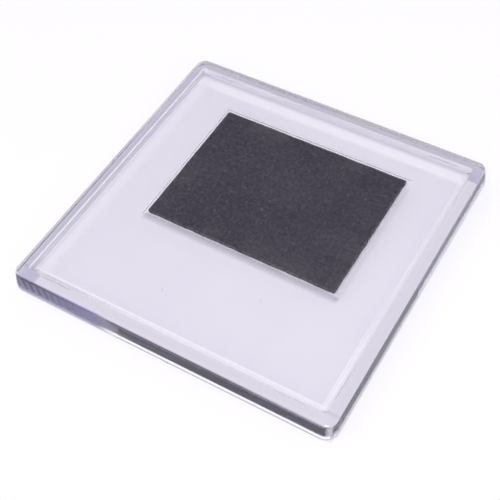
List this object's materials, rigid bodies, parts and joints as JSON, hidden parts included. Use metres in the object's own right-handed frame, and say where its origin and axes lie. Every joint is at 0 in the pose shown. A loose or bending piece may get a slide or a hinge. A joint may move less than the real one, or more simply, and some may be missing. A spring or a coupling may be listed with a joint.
{
  "type": "magnetic photo frame",
  "caption": "Square clear plastic photo frame with a press-in back cover over a picture insert, held to steel by a flexible magnet sheet.",
  "frame": {"origin": "centre of the shell's flat front face, which the frame lies on", "axes": "+Z out of the back, through the cover and the magnet; +Y towards the frame's upper edge when it hangs, the edge that the magnet is nearer to; +X to the right seen from the back"},
  "size_m": [0.0656, 0.0656, 0.0041],
  "materials": {
    "shell_plastic": "clear moulded polystyrene, polished",
    "cover_plastic": "clear moulded polystyrene, polished",
    "insert_card": "blank uncoated card",
    "adhesive": "white double-sided foam tape",
    "magnet": "matt flexible ferrite sheet with a faint fibrous mottle"
  },
  "bodies": {
    "shell": {"front_shell": "shell_plastic"},
    "insert": {"photo_insert": "insert_card"},
    "cover": {"back_cover": "cover_plastic", "adhesive_pad": "adhesive", "magnet_sheet": "magnet"}
  },
  "joints": [
    {"name": "cover_lift", "type": "slide", "parent": "shell", "child": "cover", "axis": [0, 0, 1], "range_m": [0, 0.016]},
    {"name": "insert_lift", "type": "slide", "parent": "shell", "child": "insert", "axis": [0, 0, 1], "range_m": [0, 0.008]}
  ],
  "couplings": [
    {"joint": "insert_lift", "follows": "cover_lift", "ratio": 0.5}
  ]
}
